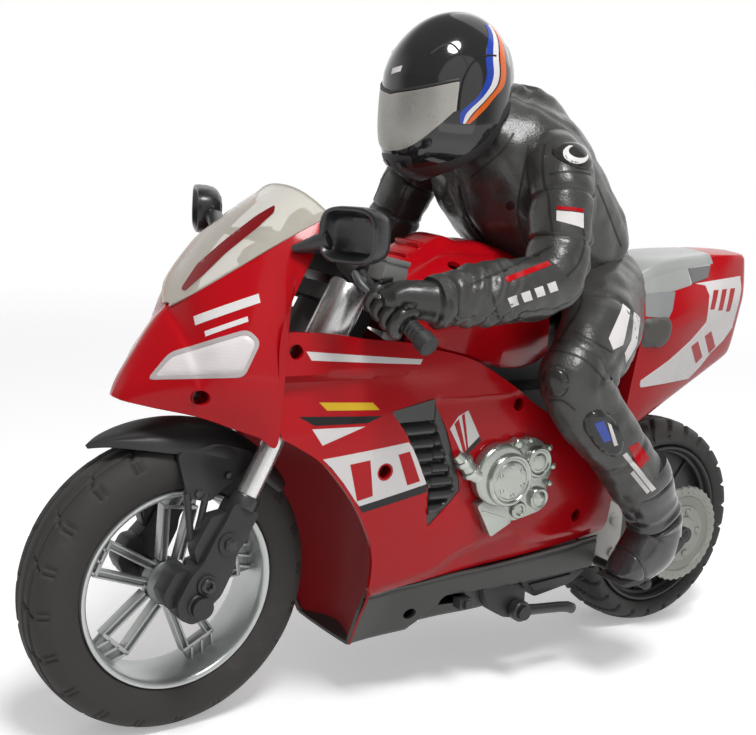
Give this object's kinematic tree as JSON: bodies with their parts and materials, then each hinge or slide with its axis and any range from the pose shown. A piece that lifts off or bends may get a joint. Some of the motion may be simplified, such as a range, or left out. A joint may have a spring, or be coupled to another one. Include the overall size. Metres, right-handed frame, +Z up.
{
  "type": "radio-controlled toy motorcycle with rider",
  "caption": "Toy sport motorcycle with full red fairing and a seated helmeted rider, driven rear wheel, steered sprung fork, balancing flywheel and folding side stand.",
  "frame": {"origin": "on the ground under the middle of the model's bounding box", "axes": "+X forward, +Y to the rider's left, +Z up"},
  "size_m": [0.3485, 0.1378, 0.268],
  "materials": {
    "red": "glossy",
    "black_plastic": "satin",
    "grey_plastic": "matt",
    "seat": "grained",
    "clear": "tinted clear",
    "lens": "clear",
    "silver": "silver paint",
    "black_metal": "satin black",
    "chrome": "bright",
    "steel": "brushed",
    "tyre": "matt",
    "gear": "matt",
    "brass": "turned",
    "battery": "film",
    "board": "lacquered",
    "suit": "leather grain",
    "glove": "satin",
    "helmet": "glossy",
    "visor": "mirrored smoke"
  },
  "bodies": {
    "frame": {"main_frame": "grey_plastic", "gearbox_cover": "black_plastic", "drive_motor": "steel", "flywheel_motor": "steel", "battery_pack": "battery", "control_board": "board", "steering_servo": "black_plastic", "front_cowl": "red", "windshield": "clear", "headlight_left": "lens", "headlight_right": "lens", "side_fairing_left": "red", "side_fairing_right": "red", "vent_left": "black_plastic", "vent_right": "black_plastic", "engine_cover_left": "silver", "engine_cover_right": "silver", "belly_pan": "grey_plastic", "stand_screw": "steel", "tank_cover": "red", "seat_pad": "seat", "tail_cowl": "red", "instrument_panel": "black_plastic", "bar_bracket": "black_plastic", "handlebar_left": "black_plastic", "handlebar_right": "black_plastic", "mirror_left": "black_plastic", "mirror_right": "black_plastic", "footrest_left": "silver", "footrest_right": "silver", "body_screws": "steel", "rider_torso": "suit", "rider_helmet": "helmet", "rider_visor": "visor", "rider_arm_left": "suit", "rider_arm_right": "suit", "rider_glove_left": "glove", "rider_glove_right": "glove", "rider_leg_left": "suit", "rider_leg_right": "suit"},
    "steering": {"steering_stem": "black_plastic", "top_yoke": "black_plastic", "fork_tube_left": "chrome", "fork_tube_right": "chrome"},
    "fork_slider": {"fork_lower_left": "black_plastic", "fork_lower_right": "black_plastic", "front_fender": "black_plastic", "front_axle": "steel"},
    "front_wheel": {"front_rim": "silver", "front_tyre": "tyre"},
    "rear_wheel": {"rear_axle": "steel", "rear_rim": "black_metal", "rear_tyre": "tyre", "rear_sprocket": "silver", "hub_gear": "gear"},
    "idler": {"idler_gear": "gear"},
    "pinion": {"motor_pinion": "brass"},
    "gyro": {"flywheel": "brass"},
    "stand": {"side_stand": "grey_plastic"},
    "switch": {"power_switch": "black_plastic"}
  },
  "joints": [
    {"name": "steer", "type": "hinge", "parent": "frame", "child": "steering", "pos_m": [0.11304, 0, 0.05177], "axis": [-0.4617, 0, 0.887], "range_deg": [-15, 15]},
    {"name": "fork_slide", "type": "slide", "parent": "steering", "child": "fork_slider", "axis": [-0.4617, 0, 0.887], "range_m": [0, 0.006], "stiffness_N_per_m": 1500, "springref_m": -0.004},
    {"name": "front_spin", "type": "hinge", "parent": "fork_slider", "child": "front_wheel", "pos_m": [0.11925, 0, 0.055], "axis": [0, 1, 0], "continuous": true},
    {"name": "rear_spin", "type": "hinge", "parent": "frame", "child": "rear_wheel", "pos_m": [-0.12575, 0, 0.0485], "axis": [0, 1, 0], "continuous": true},
    {"name": "idler_spin", "type": "hinge", "parent": "frame", "child": "idler", "pos_m": [-0.08936, 0, 0.05757], "axis": [0, 1, 0], "continuous": true},
    {"name": "pinion_spin", "type": "hinge", "parent": "frame", "child": "pinion", "pos_m": [-0.06511, 0, 0.06362], "axis": [0, 1, 0], "continuous": true},
    {"name": "gyro_spin", "type": "hinge", "parent": "frame", "child": "gyro", "pos_m": [-0.00875, 0, 0.092], "axis": [0, 1, 0], "continuous": true},
    {"name": "stand_fold", "type": "hinge", "parent": "frame", "child": "stand", "pos_m": [-0.02175, 0.0376, 0.033], "axis": [0, -1, 0], "range_deg": [0, 80]},
    {"name": "switch_slide", "type": "slide", "parent": "frame", "child": "switch", "axis": [1, 0, 0], "range_m": [0, 0.002]}
  ],
  "couplings": [
    {"joint": "idler_spin", "follows": "rear_spin", "ratio": -0.82927},
    {"joint": "pinion_spin", "follows": "rear_spin", "ratio": 3.7778}
  ]
}
